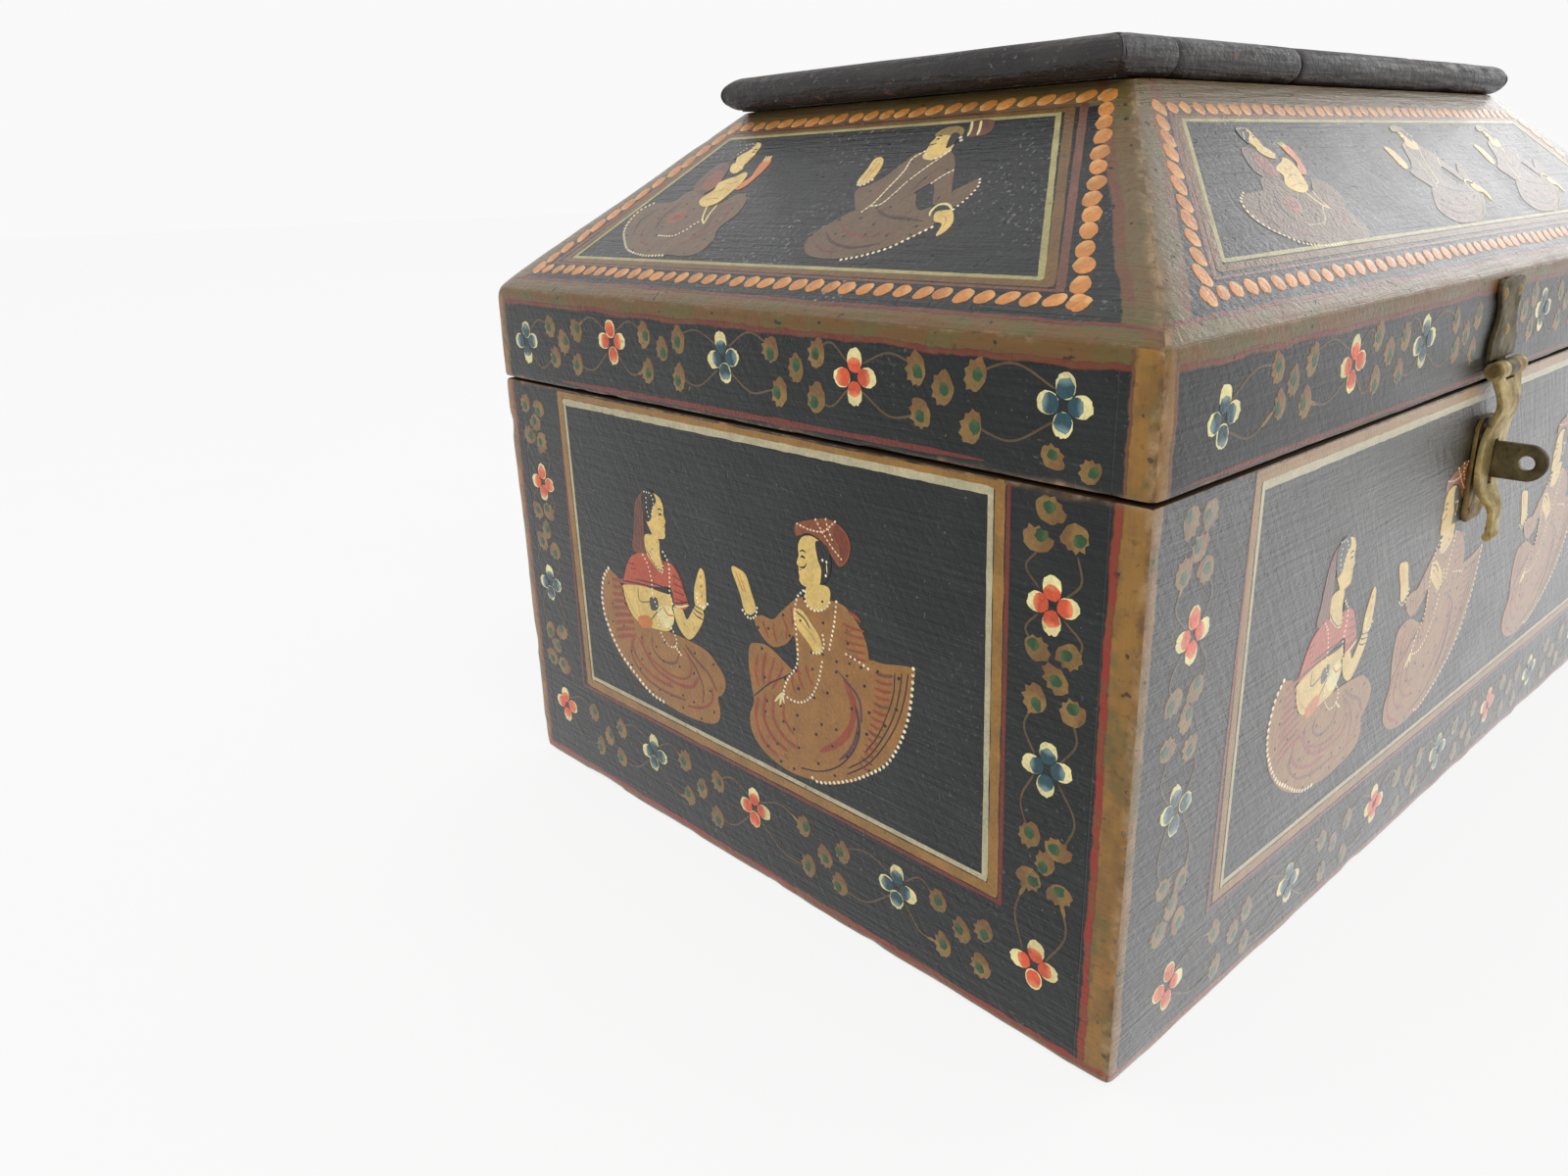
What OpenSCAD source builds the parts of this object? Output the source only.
// Painted wooden keepsake box with a hipped, hinged lid and a brass hasp.
// Origin at the middle of the underside, +X to the right, -Y to the front, +Z up. Millimetres.

/* [Body] */
// Width of the box along X
box_width = 454; // [300:1:600]
// Depth of the box, front to back
box_depth = 300; // [220:1:420]
// Height of the body up to the lid's seam
body_height = 170; // [100:1:260]
// Thickness of the upright boards
board = 12; // [10:0.5:18]
// Thickness of the bottom board
bottom_board = 12; // [8:0.5:18]

/* [Lid] */
// Gap at the seam between body and lid
seam_gap = 0.8; // [0.4:0.1:2]
// Height of the lid's upright rim
rim_height = 36; // [30:1:60]
// Rise of the sloping boards above the rim
slope_rise = 62; // [40:1:100]
// How far the end slopes reach in, seen from above
end_run = 81; // [50:1:110]
// How far the front and back slopes reach in
front_run = 64; // [45:1:80]
// Thickness of the sloping boards
slope_board = 9; // [7:0.5:12]

/* [Flat top] */
// Thickness of the top board and diameter of its half-round edge
top_board = 12; // [8:0.5:20]
// Overhang past the end slopes, edge strip included
top_over_end = 9; // [6:0.5:20]
// Overhang past the front and back slopes, edge strip included
top_over_front = 2.5; // [2:0.5:20]
// First joint in the front edge strip, from the board's left corner
strip_joint_a = 25; // [15:1:60]
// Length of the front strip's middle piece
strip_middle = 79; // [40:1:120]

/* [Nails] */
// Radius of a nail's shank
nail_r = 1.1; // [0.8:0.1:1.5]
// Radius of a nail's head
nail_head_r = 2.2; // [1.8:0.1:2.6]
// Thickness of a nail's head
nail_head = 0.8; // [0.6:0.1:1.2]
// Length of the nails in the corners and the bottom
nail_length = 30; // [22:1:40]
// Length of the nails that hold the slopes to the rim
slope_nail_length = 22; // [16:1:26]
// Depth that a top nail goes into a sloping board
top_nail_bite = 4.5; // [4:0.5:6]
// Length of the brads in the half-round strips
brad_length = 10; // [8:0.5:11]
// How deep a head lies under the painted surface
nail_sink = 0.3; // [0.2:0.05:0.5]
// Free play round a nail in its hole
nail_fit = 0.05; // [0.03:0.01:0.1]

/* [Hasp] */
// Middle of the hasp along X
hasp_x = -5; // [-30:1:30]
// Width of the hasp's knuckle
hasp_width = 24; // [18:1:34]
// Height of the pin above the seam
hasp_pin_rise = 4.2; // [4:0.1:6]
// Outer radius of the hasp's knuckle
hasp_knuckle_r = 3.2; // [2.8:0.1:3.6]
// Radius of the hasp's pin
hasp_pin_r = 1.5; // [1.2:0.1:1.7]
// Thickness of the lid leaf
hasp_leaf = 1.6; // [1.2:0.1:2]
// Top of the lid leaf below the rim's top edge
leaf_top_drop = 1.5; // [0.5:0.5:6]
// Thickness of the hasp's arm
arm_thickness = 2; // [1.6:0.1:2.4]
// Length of the arm below its pin
arm_length = 61; // [56:1:70]
// How far the arm bows outwards below its knuckle
arm_bow = 2.6; // [1:0.1:3]
// How far the arm's tail stands off for the finger
tail_lift = 4.6; // [3:0.1:7]

/* [Staple] */
// Thickness of the staple's base plate
plate_thickness = 1.4; // [1:0.1:1.5]
// Width of the base plate
plate_width = 19; // [16:1:28]
// Height of the base plate
plate_height = 38; // [32:1:42]
// Thickness of the standing eye
eye_thickness = 2.4; // [2:0.1:3]
// How far the eye's middle lies below the hasp's pin
eye_drop = 32.2; // [30:0.1:34]
// Height of the standing eye
eye_height = 13; // [11:0.5:14]
// How far the eye stands out from the body
eye_reach = 22; // [19:0.5:24]
// Radius of the hole for a padlock
eye_hole_r = 2.6; // [2:0.1:3.2]
// Depth of the eye's tang in the front board
tang_depth = 8; // [4:0.5:9]
// Free play round the eye in the arm's slot, each side
slot_play = 0.7; // [0.5:0.1:1]

/* [Hinges] */
// Distance of each hinge's middle from the nearer end of the box
hinge_inset = 77; // [40:1:137]
// Length of a hinge along its pin
hinge_length = 60; // [45:1:80]
// Height of each leaf
hinge_leaf_height = 26; // [20:1:30]
// Thickness of the leaves
hinge_leaf = 1.6; // [1.2:0.1:2]
// Outer radius of the knuckles
hinge_knuckle_r = 3.2; // [2.8:0.1:4]
// Radius of the hinge pins
hinge_pin_r = 1.5; // [1.2:0.1:1.7]
// Number of knuckles on one hinge
hinge_knuckles = 5; // [3:2:7]

/* [Brass fittings] */
// Radial clearance between a pin and its knuckles
pin_fit = 0.05; // [0.02:0.01:0.1]
// Gap between neighbouring knuckles, and round what turns
knuckle_gap = 0.3; // [0.2:0.05:0.5]
// Radius of the shank of a brass pin
tack_r = 0.9; // [0.7:0.1:1.1]
// Radius of a brass pin's domed head
tack_head_r = 2; // [1.6:0.1:2.4]
// Height of that head
tack_head = 0.6; // [0.4:0.1:0.8]
// Depth that a brass pin goes into the wood
tack_bite = 4.4; // [3:0.1:4.5]

/* [Hidden] */

$fn = 48;
skin = 0.01;                       // cutters reach this far past a face
half_w = box_width / 2;
half_d = box_depth / 2;
lid_z = body_height + seam_gap;    // underside of the lid
rim_top = lid_z + rim_height;
slope_top = rim_top + slope_rise;
top_mid = slope_top + top_board / 2;
strip_r = top_board / 2;
top_half_w = half_w - end_run + top_over_end - strip_r;
top_half_d = half_d - front_run + top_over_front - strip_r;
strip_joint_b = strip_joint_a + strip_middle;
hinge_x = half_w - hinge_inset;     // middle of each hinge along X

// Nail rows keep these distances from the ends of what they hold
corner_nail_inset = 18;
bottom_nail_inset = 50;
rail_nail_inset = 9;
slope_nail_inset = 34;
top_nail_inset = 36;
brad_inset = 14;
top_nail_in = 6.5;                 // top nails from the outer edge of the slopes' top faces
brad_r = 0.7;
brad_head_r = 1.2;

wood_dark = [0.13, 0.13, 0.13];
wood_ochre = [0.42, 0.33, 0.2];
wood_black = [0.1, 0.09, 0.09];
wood_plain = [0.5, 0.38, 0.26];
brass = [0.6, 0.53, 0.36];
iron = [0.3, 0.28, 0.27];

// Places of n things in a row from -half to +half
function row(n, half) = [for (i = [0 : n - 1]) n == 1 ? 0 : -half + 2 * half * i / (n - 1)];

// Horizontal width of a sloping board's foot for its run
function foot(run) = slope_board * sqrt(run * run + slope_rise * slope_rise) / slope_rise;

// A nail that points down from z = 0, its head under the surface
module nail(length, shank, head_r) {
    translate([0, 0, -nail_sink - nail_head]) cylinder(r = head_r, h = nail_head);
    translate([0, 0, -length]) cylinder(r = shank, h = length - nail_sink - nail_head + skin);
}

// The hole that a nail sits in, open at the surface
module nail_hole(length, shank, head_r) {
    translate([0, 0, -nail_sink - nail_head]) cylinder(r = head_r + nail_fit, h = board);
    translate([0, 0, -length - nail_fit]) cylinder(r = shank + nail_fit, h = length);
}

// A brass pin with a low domed head, its head's seat at z = 0
module tack(plate) {
    dome_r = (tack_head_r * tack_head_r + tack_head * tack_head) / (2 * tack_head);
    intersection() {
        translate([0, 0, tack_head - dome_r]) sphere(r = dome_r);
        cylinder(r = tack_head_r, h = tack_head + skin);
    }
    translate([0, 0, -plate - tack_bite]) cylinder(r = tack_r, h = plate + tack_bite + skin);
}

module tack_hole(depth) {
    translate([0, 0, -depth - nail_fit]) cylinder(r = tack_r + nail_fit, h = depth + 1);
}

// Frames that put a thing on a face of the box, its z outwards
module on_front(x, z, out = 0) { translate([x, -half_d - out, z]) rotate([90, 0, 0]) children(); }
module on_back(x, z, out = 0) { translate([x, half_d + out, z]) rotate([-90, 0, 0]) children(); }
module on_left(y, z) { translate([-half_w, y, z]) rotate([0, -90, 0]) children(); }
module on_right(y, z) { translate([half_w, y, z]) rotate([0, 90, 0]) children(); }

// Corner nails go through front and back boards into the ends of the end boards
module corner_places(zs) {
    for (x = [-half_w + board / 2, half_w - board / 2])
        for (z = zs) {
            on_front(x, z) children();
            on_back(x, z) children();
        }
}
body_nail_z = [for (t = row(4, body_height / 2 - corner_nail_inset)) body_height / 2 + t];
rail_nail_z = [for (t = row(2, rim_height / 2 - rail_nail_inset)) lid_z + rim_height / 2 + t];

module bottom_places() {
    for (x = row(5, half_w - bottom_nail_inset)) {
        on_front(x, bottom_board / 2) children();
        on_back(x, bottom_board / 2) children();
    }
    for (y = row(3, half_d - bottom_nail_inset)) {
        on_left(y, bottom_board / 2) children();
        on_right(y, bottom_board / 2) children();
    }
}

// Upright nails through the foot of each slope, their heads just under its face
function slope_nail_z(run) = rim_top + (board / 2 - nail_head_r) * slope_rise / run;
module slope_places() {
    for (x = row(6, half_w - slope_nail_inset))
        for (s = [-1, 1])
            translate([x, s * (half_d - board / 2), slope_nail_z(front_run)]) children();
    for (y = row(4, half_d - slope_nail_inset))
        for (s = [-1, 1])
            translate([s * (half_w - board / 2), y, slope_nail_z(end_run)]) children();
}

// Upright nails through the top board into the slopes' top faces
module top_places() {
    y_top = half_d - front_run - top_nail_in;
    x_top = half_w - end_run - top_nail_in;
    for (x = row(4, x_top - top_nail_inset))
        for (s = [-1, 1])
            translate([x, s * y_top, slope_top + top_board]) children();
    for (y = row(2, y_top - top_nail_inset))
        for (s = [-1, 1])
            translate([s * x_top, y, slope_top + top_board]) children();
}

// Brads through the half-round strips into the top board's edge
module brad_places() {
    front_runs = [
        [-top_half_w, -top_half_w + strip_joint_a],
        [-top_half_w + strip_joint_a, -top_half_w + strip_joint_b],
        [-top_half_w + strip_joint_b, top_half_w]
    ];
    for (r = front_runs)
        for (x = r[1] - r[0] < 4 * brad_inset ? [(r[0] + r[1]) / 2] : [r[0] + brad_inset, r[1] - brad_inset])
            translate([x, -top_half_d - strip_r, top_mid]) rotate([90, 0, 0]) children();
    for (x = row(4, top_half_w - brad_inset))
        translate([x, top_half_d + strip_r, top_mid]) rotate([-90, 0, 0]) children();
    for (y = row(3, top_half_d - brad_inset)) {
        translate([-top_half_w - strip_r, y, top_mid]) rotate([0, -90, 0]) children();
        translate([top_half_w + strip_r, y, top_mid]) rotate([0, 90, 0]) children();
    }
}

module long_nail() { nail(nail_length, nail_r, nail_head_r); }
module long_nail_hole() { nail_hole(nail_length, nail_r, nail_head_r); }
module slope_nail() { nail(slope_nail_length, nail_r, nail_head_r); }
module slope_nail_hole() { nail_hole(slope_nail_length, nail_r, nail_head_r); }
module top_nail() { nail(top_board + top_nail_bite, nail_r, nail_head_r); }
module top_nail_hole() { nail_hole(top_board + top_nail_bite, nail_r, nail_head_r); }
module brad() { nail(brad_length, brad_r, brad_head_r); }
module brad_hole() { nail_hole(brad_length, brad_r, brad_head_r); }

// Body boards: front and back run the full width, the ends and the bottom stand between them
module long_board(y0, z0, height) { translate([-half_w, y0, z0]) cube([box_width, board, height]); }
module end_board(x0, z0, height) {
    translate([x0, -half_d + board, z0]) cube([board, box_depth - 2 * board, height]);
}

module body_front() {
    color(wood_dark) difference() {
        long_board(-half_d, 0, body_height);
        corner_places(body_nail_z) long_nail_hole();
        bottom_places() long_nail_hole();
        staple_tack_places() tack_hole(tack_bite);
        eye_tang(nail_fit);
    }
}

module body_back() {
    color(wood_dark) difference() {
        long_board(half_d - board, 0, body_height);
        corner_places(body_nail_z) long_nail_hole();
        bottom_places() long_nail_hole();
        body_tack_places() tack_hole(tack_bite);
    }
}

module body_end(x0) {
    color(wood_dark) difference() {
        end_board(x0, 0, body_height);
        corner_places(body_nail_z) long_nail_hole();
        bottom_places() long_nail_hole();
    }
}

module body_left_end() { body_end(-half_w); }
module body_right_end() { body_end(half_w - board); }

module body_bottom() {
    color(wood_plain) difference() {
        translate([-half_w + board, -half_d + board, 0])
            cube([box_width - 2 * board, box_depth - 2 * board, bottom_board]);
        bottom_places() long_nail_hole();
    }
}

module body_corner_nails() { color(iron) corner_places(body_nail_z) long_nail(); }
module body_bottom_nails() { color(iron) bottom_places() long_nail(); }

// Lid rim
module lid_front_rail() {
    color(wood_dark) difference() {
        long_board(-half_d, lid_z, rim_height);
        corner_places(rail_nail_z) long_nail_hole();
        slope_places() slope_nail_hole();
        leaf_tack_places() tack_hole(tack_bite);
    }
}

module lid_back_rail() {
    color(wood_dark) difference() {
        long_board(half_d - board, lid_z, rim_height);
        corner_places(rail_nail_z) long_nail_hole();
        slope_places() slope_nail_hole();
        lid_tack_places() tack_hole(tack_bite);
    }
}

module lid_end_rail(x0) {
    color(wood_dark) difference() {
        end_board(x0, lid_z, rim_height);
        corner_places(rail_nail_z) long_nail_hole();
        slope_places() slope_nail_hole();
    }
}

module lid_left_rail() { lid_end_rail(-half_w); }
module lid_right_rail() { lid_end_rail(half_w - board); }
module lid_rail_nails() { color(iron) corner_places(rail_nail_z) long_nail(); }

// A sloping board along X, cut in plan along the hips at both ends
module slope_solid(half_length, half_across, run, other_run) {
    reach = run + foot(run);
    hip = reach * other_run / run;
    intersection() {
        translate([-half_length, -half_across, rim_top]) rotate([90, 0, 90])
            linear_extrude(2 * half_length)
                polygon([[0, 0], [foot(run), 0], [reach, slope_rise], [run, slope_rise]]);
        translate([0, 0, rim_top - 1]) linear_extrude(slope_rise + 2) polygon([
            [-half_length, -half_across], [half_length, -half_across],
            [half_length - hip, -half_across + reach], [-half_length + hip, -half_across + reach]
        ]);
    }
}

module front_slope_solid() { slope_solid(half_w, half_d, front_run, end_run); }
module left_slope_solid() { rotate([0, 0, -90]) slope_solid(half_d, half_w, end_run, front_run); }

module slope_cut() {
    difference() {
        children();
        slope_places() slope_nail_hole();
        top_places() top_nail_hole();
    }
}

module lid_front_slope() { color(wood_ochre) slope_cut() front_slope_solid(); }
module lid_back_slope() { color(wood_ochre) slope_cut() mirror([0, 1, 0]) front_slope_solid(); }
module lid_left_slope() { color(wood_ochre) slope_cut() left_slope_solid(); }
module lid_right_slope() { color(wood_ochre) slope_cut() mirror([1, 0, 0]) left_slope_solid(); }
module lid_slope_nails() { color(iron) slope_places() slope_nail(); }

// Flat top with half-round strips round its edge
module lid_top_board() {
    color(wood_black) difference() {
        translate([-top_half_w, -top_half_d, slope_top])
            cube([2 * top_half_w, 2 * top_half_d, top_board]);
        top_places() top_nail_hole();
        brad_places() brad_hole();
    }
}

module lid_top_nails() { color(iron) top_places() top_nail(); }
module top_strip_brads() { color(iron) brad_places() brad(); }

// Half-round strip along X in front of y = -half_across, mitred at both corners, from x0 to x1
module strip(half_length, half_across, x0, x1) {
    past = strip_r + 1;
    intersection() {
        translate([-half_length - past, -half_across, top_mid]) rotate([0, 90, 0])
            cylinder(r = strip_r, h = 2 * (half_length + past));
        translate([0, 0, slope_top]) linear_extrude(top_board) polygon([
            [-half_length, -half_across], [half_length, -half_across],
            [half_length + past, -half_across - past], [-half_length - past, -half_across - past]
        ]);
        translate([x0, -half_across - past, slope_top]) cube([x1 - x0, past, top_board]);
    }
}

module front_strip(x0, x1) {
    color(wood_black) difference() {
        strip(top_half_w, top_half_d, x0, x1);
        brad_places() brad_hole();
    }
}

strip_end_w = top_half_w + strip_r;
strip_end_d = top_half_d + strip_r;

module top_strip_front_short() { front_strip(-strip_end_w, -top_half_w + strip_joint_a); }
module top_strip_front_middle() { front_strip(-top_half_w + strip_joint_a, -top_half_w + strip_joint_b); }
module top_strip_front_long() { front_strip(-top_half_w + strip_joint_b, strip_end_w); }

module top_strip_back() {
    color(wood_black) difference() {
        mirror([0, 1, 0]) strip(top_half_w, top_half_d, -strip_end_w, strip_end_w);
        brad_places() brad_hole();
    }
}

module top_strip_left() {
    color(wood_black) difference() {
        rotate([0, 0, -90]) strip(top_half_d, top_half_w, -strip_end_d, strip_end_d);
        brad_places() brad_hole();
    }
}

module top_strip_right() {
    color(wood_black) difference() {
        rotate([0, 0, 90]) strip(top_half_d, top_half_w, -strip_end_d, strip_end_d);
        brad_places() brad_hole();
    }
}

// Hasp: the leaf on the rim carries the middle knuckle, the arm the two outer ones
hasp_pin_z = body_height + hasp_pin_rise;
hasp_pin_out = hasp_knuckle_r + knuckle_gap;          // pin axis in front of the box's face
mid_knuckle = hasp_width / 3;
side_knuckle = (hasp_width - mid_knuckle) / 2 - knuckle_gap;
leaf_height = rim_top - leaf_top_drop - hasp_pin_z;
leaf_clear = hasp_knuckle_r + knuckle_gap;            // the leaf's plate starts this far above the pin
hasp_tacks = [[-0.3, 0.83], [0.3, 0.83], [0, 0.42]];  // shares of the leaf's width and height

// Children in the hasp's frame: x across, y up from the pin, z outwards from the box's face
module hasp_frame() { on_front(hasp_x, hasp_pin_z) children(); }

module hasp_tube(x0, length) {
    translate([x0, 0, hasp_pin_out]) rotate([0, 90, 0]) cylinder(r = hasp_knuckle_r, h = length);
}

module hasp_bore() {
    translate([-hasp_width, 0, hasp_pin_out]) rotate([0, 90, 0])
        cylinder(r = hasp_pin_r + pin_fit, h = 2 * hasp_width);
}

// Half outline of the leaf as height above the pin's clearance and half width
function leaf_half() = let (w = hasp_width / 2, h = leaf_height) [
    [leaf_clear, w], [0.32 * h, 0.98 * w], [0.45 * h, 0.8 * w], [0.58 * h, 0.7 * w], [0.7 * h, 0.72 * w],
    [0.8 * h, 0.86 * w], [0.88 * h, 0.95 * w], [0.95 * h, 0.93 * w], [0.985 * h, 0.72 * w],
    [0.97 * h, 0.45 * w], [0.99 * h, 0.2 * w], [h, 0]
];

// Points [along, half width] become a closed outline that is the same on both sides
function both_sides(half) = concat(
    [for (p = half) [p[1], p[0]]],
    [for (i = [len(half) - 1 : -1 : 0]) if (half[i][1] > 0) [-half[i][1], half[i][0]]]
);

module leaf_tack_places() {
    for (t = hasp_tacks)
        on_front(hasp_x + t[0] * hasp_width, hasp_pin_z + t[1] * leaf_height) children();
}

module hasp_leaf() {
    color(brass) difference() {
        union() {
            hasp_frame() linear_extrude(hasp_leaf) polygon(both_sides(leaf_half()));
            hasp_frame() translate([-mid_knuckle / 2, 0, 0])
                cube([mid_knuckle, leaf_clear + 1, hasp_leaf]);
            hasp_frame() hasp_tube(-mid_knuckle / 2, mid_knuckle);
        }
        hasp_frame() hasp_bore();
        leaf_tack_places() translate([0, 0, hasp_leaf]) tack_hole(hasp_leaf + 1);
    }
}

module hasp_leaf_tacks() {
    color(brass) leaf_tack_places() translate([0, 0, hasp_leaf]) tack(hasp_leaf);
}

pin_head = 0.8;
pin_head_lip = 0.5;
hinge_head_lip = 0.8;
module hasp_pin() {
    color(brass) hasp_frame() translate([0, 0, hasp_pin_out]) rotate([0, 90, 0]) {
        translate([0, 0, -hasp_width / 2 - pin_head])
            cylinder(r = hasp_pin_r, h = hasp_width + 2 * pin_head);
        for (s = [-1, 1])
            translate([0, 0, s * (hasp_width / 2 + pin_head / 2 + knuckle_gap) - pin_head / 2])
                cylinder(r = hasp_pin_r + pin_head_lip, h = pin_head);
    }
}

// The arm's centre line: distance out from the pin's axis at a distance below it
bow_at = 12;
bow_spread = 8;
tail_at = 46.5;
tail_spread = 3;
function arm_out(s) = arm_bow * exp(-pow((s - bow_at) / bow_spread, 2))
    + tail_lift / (1 + exp(-(s - tail_at) / (tail_spread / 2)));
function arm_tilt(s) = (arm_out(s + 0.1) - arm_out(s - 0.1)) / 0.2;
arm_steps = [for (s = [0 : 1.5 : arm_length]) s];

// Half outline of the arm seen from the front: distance below the pin and half width
function arm_half() = let (w = hasp_width / 2, l = arm_length) [
    [0, w], [hasp_knuckle_r, w], [0.12 * l, 0.82 * w], [0.2 * l, 0.7 * w], [0.28 * l, 0.72 * w],
    [0.38 * l, 0.88 * w], [0.48 * l, 0.94 * w], [0.58 * l, 0.92 * w], [0.68 * l, 0.78 * w],
    [0.76 * l, 0.52 * w], [0.84 * l, 0.36 * w], [0.9 * l, 0.32 * w], [l, 0.36 * w]
];

eye_z = hasp_pin_z - eye_drop;
eye_top = eye_z + eye_height / 2;
eye_nose_r = eye_height / 2;
eye_hole_out = eye_reach - eye_nose_r;
// The slot reaches the circle that the eye's lower nose draws round the pin
slot_top = hasp_pin_z - eye_top - slot_play;
slot_low = sqrt(pow(eye_reach - eye_nose_r - hasp_pin_out, 2) + pow(hasp_pin_z - eye_z, 2))
    + eye_nose_r + slot_play;
slot_width = eye_thickness + 2 * slot_play;
tail_half = 0.36 * hasp_width / 2;                    // half width of the rolled end
tail_roll = 1.6;                                      // its radius

module arm_profile() {
    half = arm_thickness / 2;
    outer = [for (s = arm_steps) [-s, hasp_pin_out + arm_out(s) + half * sqrt(1 + pow(arm_tilt(s), 2))]];
    inner = [for (s = arm_steps) [-s, hasp_pin_out + arm_out(s) - half * sqrt(1 + pow(arm_tilt(s), 2))]];
    polygon(concat(outer, [for (i = [len(inner) - 1 : -1 : 0]) inner[i]]));
}

module hasp_arm() {
    last = arm_steps[len(arm_steps) - 1];
    color(brass) hasp_frame() difference() {
        union() {
            intersection() {
                // y up, z out; the profile is drawn as [y, z] and carried along x
                translate([-hasp_width / 2, 0, 0]) multmatrix([[0, 0, 1, 0], [1, 0, 0, 0], [0, 1, 0, 0], [0, 0, 0, 1]])
                    linear_extrude(hasp_width) arm_profile();
                linear_extrude(2 * hasp_pin_out + tail_lift + arm_thickness)
                    polygon([for (p = both_sides(arm_half())) [p[0], -p[1]]]);
            }
            hasp_tube(-hasp_width / 2, side_knuckle);
            hasp_tube(hasp_width / 2 - side_knuckle, side_knuckle);
            translate([-tail_half, -last, hasp_pin_out + arm_out(last)]) rotate([0, 90, 0])
                cylinder(r = tail_roll, h = 2 * tail_half);
        }
        translate([-mid_knuckle / 2 - knuckle_gap, -hasp_knuckle_r - knuckle_gap, 0])
            cube([mid_knuckle + 2 * knuckle_gap, 2 * hasp_knuckle_r + 2 * knuckle_gap, 3 * hasp_pin_out]);
        translate([-slot_width / 2, -slot_low, 0]) cube([slot_width, slot_low - slot_top, 3 * hasp_pin_out]);
        hasp_bore();
    }
}

// Staple: a base plate on the body and a standing eye whose tang goes through it into the board
plate_below_eye = 4;                                  // the plate's middle below the eye's
plate_mid_z = eye_z - plate_below_eye;
tang_shoulder = 2;                                    // step at the top and bottom of the tang
tang_height = eye_height - 2 * tang_shoulder;
staple_tacks = [[-0.32, -0.4], [0.32, -0.4], [-0.32, 0.4], [0.32, 0.4]];

module staple_tack_places() {
    for (t = staple_tacks)
        on_front(hasp_x + t[0] * plate_width, plate_mid_z + t[1] * plate_height) children();
}

module eye_tang(play) {
    on_front(hasp_x, eye_z)
        translate([-eye_thickness / 2 - play, -tang_height / 2 - play, -tang_depth - play])
            cube([eye_thickness + 2 * play, tang_height + 2 * play, tang_depth + plate_thickness + 2 * play]);
}

module staple_plate() {
    corner = 3;                                       // cut-off corners
    color(brass) difference() {
        on_front(hasp_x, plate_mid_z) linear_extrude(plate_thickness) polygon([
            for (a = [[1, 1], [-1, 1], [-1, -1], [1, -1]])
                for (t = [0, 1])
                    [a[0] * (plate_width / 2 - corner * (a[0] * a[1] > 0 ? t : 1 - t)),
                     a[1] * (plate_height / 2 - corner * (a[0] * a[1] > 0 ? 1 - t : t))]
        ]);
        eye_tang(nail_fit);
        staple_tack_places() translate([0, 0, plate_thickness]) tack_hole(plate_thickness + 1);
    }
}

module staple_tacks() {
    color(brass) staple_tack_places() translate([0, 0, plate_thickness]) tack(plate_thickness);
}

module staple_eye() {
    nose = eye_reach - eye_nose_r;
    color(brass) difference() {
        union() {
            translate([hasp_x - eye_thickness / 2, -half_d, eye_z]) rotate([0, 90, 0]) {
                translate([0, -nose, 0]) cylinder(r = eye_nose_r, h = eye_thickness);
                translate([-eye_nose_r, -nose, 0])
                    cube([eye_height, nose - plate_thickness, eye_thickness]);
            }
            eye_tang(0);
        }
        translate([hasp_x - eye_thickness, -half_d - eye_hole_out, eye_z]) rotate([0, 90, 0])
            cylinder(r = eye_hole_r, h = 2 * eye_thickness);
    }
}

// Butt hinges on the back: odd knuckles on the body leaf, even ones on the lid leaf
hinge_axis_z = body_height + seam_gap / 2;
hinge_axis_out = hinge_knuckle_r + knuckle_gap;
knuckle_pitch = hinge_length / hinge_knuckles;
knuckle_length = knuckle_pitch - knuckle_gap;
hinge_tacks = [-0.36, 0, 0.36];                       // shares of the hinge's length
hinge_tack_in = 0.62;                                 // share of the leaf's height

// Frame at a hinge: x along the pin, y away from the seam on this leaf's side, z outwards
module hinge_frame(x, up) {
    translate([x, half_d, hinge_axis_z]) rotate([-90, 0, 0]) mirror([0, up > 0 ? 1 : 0, 0]) children();
}

module hinge_leaf_solid(x, up, first) {
    color(brass) hinge_frame(x, up) difference() {
        union() {
            translate([-hinge_length / 2, hinge_axis_out, 0])
                cube([hinge_length, hinge_leaf_height - hinge_axis_out, hinge_leaf]);
            for (i = [first : 2 : hinge_knuckles - 1])
                translate([-hinge_length / 2 + i * knuckle_pitch + knuckle_gap / 2, 0, 0]) {
                    cube([knuckle_length, hinge_axis_out + 1, hinge_leaf]);
                    translate([0, 0, hinge_axis_out]) rotate([0, 90, 0])
                        cylinder(r = hinge_knuckle_r, h = knuckle_length);
                }
        }
        translate([-hinge_length, 0, hinge_axis_out]) rotate([0, 90, 0])
            cylinder(r = hinge_pin_r + pin_fit, h = 2 * hinge_length);
        for (t = hinge_tacks)
            translate([t * hinge_length, hinge_tack_in * hinge_leaf_height, hinge_leaf]) tack_hole(hinge_leaf + 1);
    }
}

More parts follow.
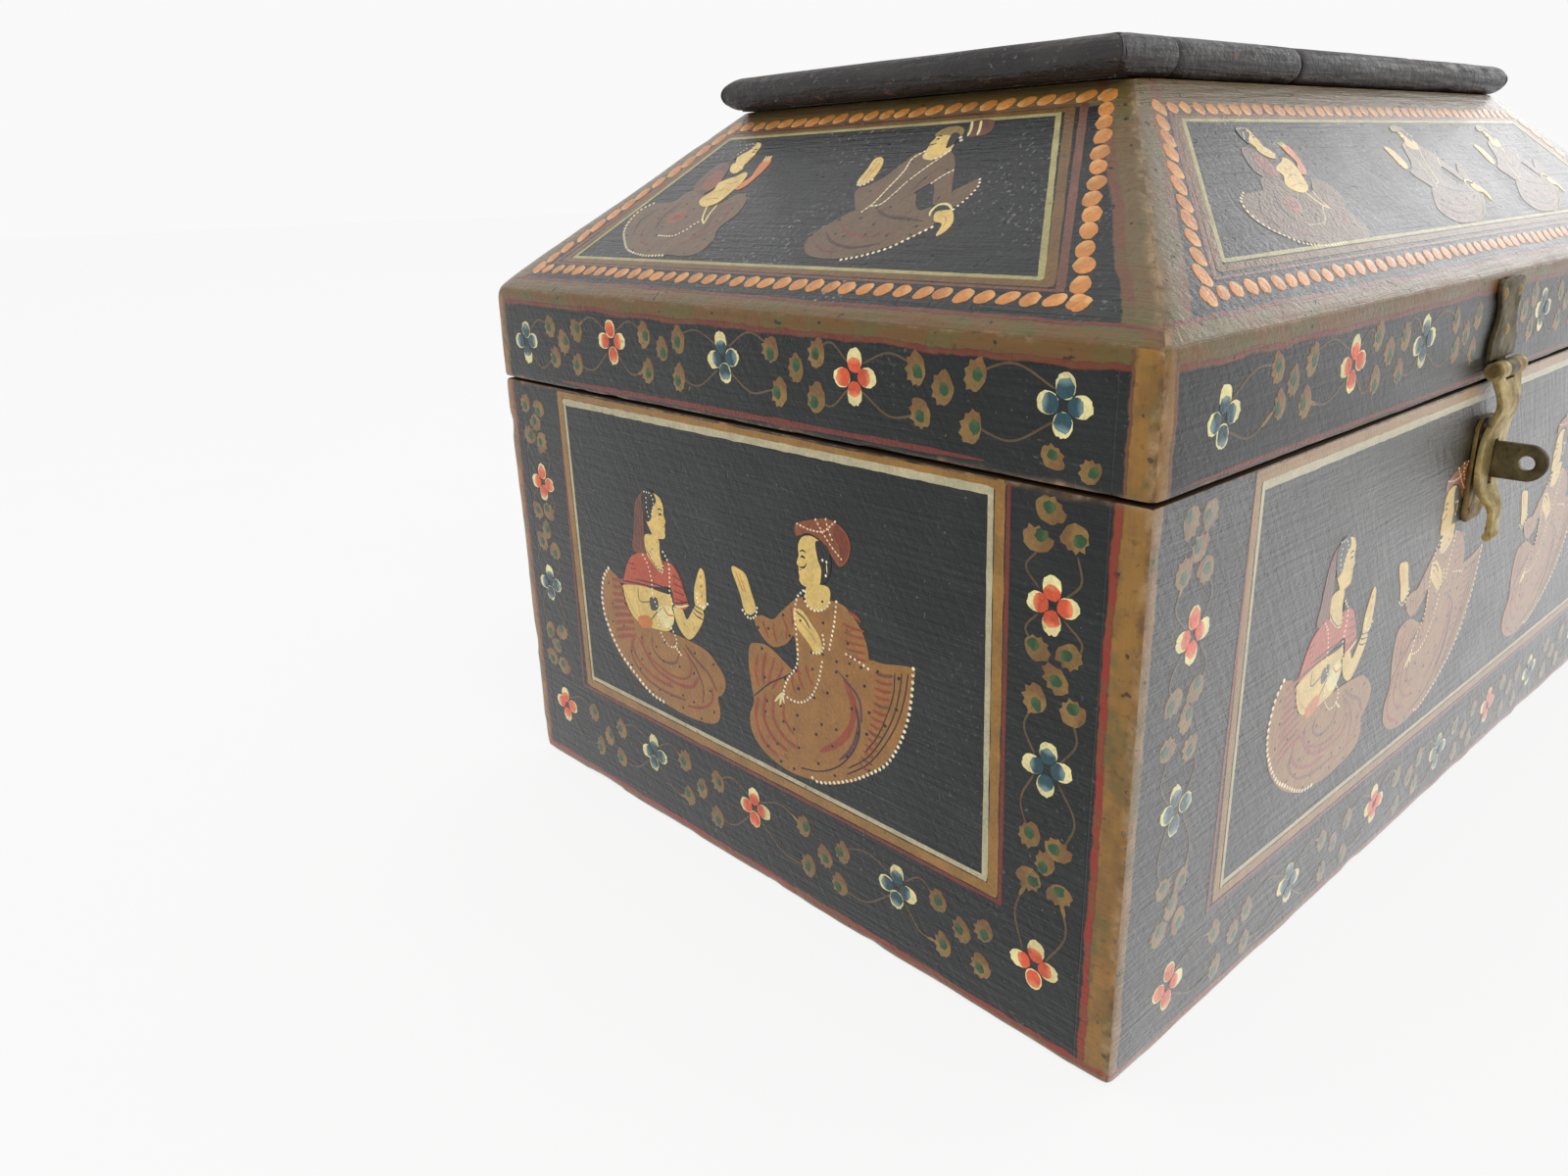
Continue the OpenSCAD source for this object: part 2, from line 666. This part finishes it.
module hinge_pin_solid(x) {
    color(brass) hinge_frame(x, -1) translate([0, 0, hinge_axis_out]) rotate([0, 90, 0]) {
        translate([0, 0, -hinge_length / 2 - knuckle_gap])
            cylinder(r = hinge_pin_r, h = hinge_length + 2 * knuckle_gap);
        for (s = [-1, 1])
            translate([0, 0, s * (hinge_length / 2 + knuckle_gap + pin_head / 2) - pin_head / 2])
                cylinder(r = hinge_pin_r + hinge_head_lip, h = pin_head);
    }
}

module hinge_tack_places(up) {
    for (x = [-hinge_x, hinge_x])
        for (t = hinge_tacks)
            on_back(x + t * hinge_length, hinge_axis_z + up * hinge_tack_in * hinge_leaf_height) children();
}

module body_tack_places() { hinge_tack_places(-1) children(); }
module lid_tack_places() { hinge_tack_places(1) children(); }
module hinge_left_body_leaf() { hinge_leaf_solid(-hinge_x, -1, 0); }
module hinge_left_lid_leaf() { hinge_leaf_solid(-hinge_x, 1, 1); }
module hinge_left_pin() { hinge_pin_solid(-hinge_x); }
module hinge_right_body_leaf() { hinge_leaf_solid(hinge_x, -1, 0); }
module hinge_right_lid_leaf() { hinge_leaf_solid(hinge_x, 1, 1); }
module hinge_right_pin() { hinge_pin_solid(hinge_x); }
module hinge_body_tacks() { color(brass) body_tack_places() translate([0, 0, hinge_leaf]) tack(hinge_leaf); }
module hinge_lid_tacks() { color(brass) lid_tack_places() translate([0, 0, hinge_leaf]) tack(hinge_leaf); }

body_front();
body_back();
body_left_end();
body_right_end();
body_bottom();
body_corner_nails();
body_bottom_nails();
lid_front_rail();
lid_back_rail();
lid_left_rail();
lid_right_rail();
lid_front_slope();
lid_back_slope();
lid_left_slope();
lid_right_slope();
lid_top_board();
lid_rail_nails();
lid_slope_nails();
lid_top_nails();
top_strip_left();
top_strip_right();
top_strip_back();
top_strip_front_short();
top_strip_front_middle();
top_strip_front_long();
top_strip_brads();
hasp_leaf();
hasp_leaf_tacks();
hasp_pin();
hasp_arm();
staple_plate();
staple_tacks();
staple_eye();
hinge_left_body_leaf();
hinge_left_lid_leaf();
hinge_left_pin();
hinge_right_body_leaf();
hinge_right_lid_leaf();
hinge_right_pin();
hinge_body_tacks();
hinge_lid_tacks();
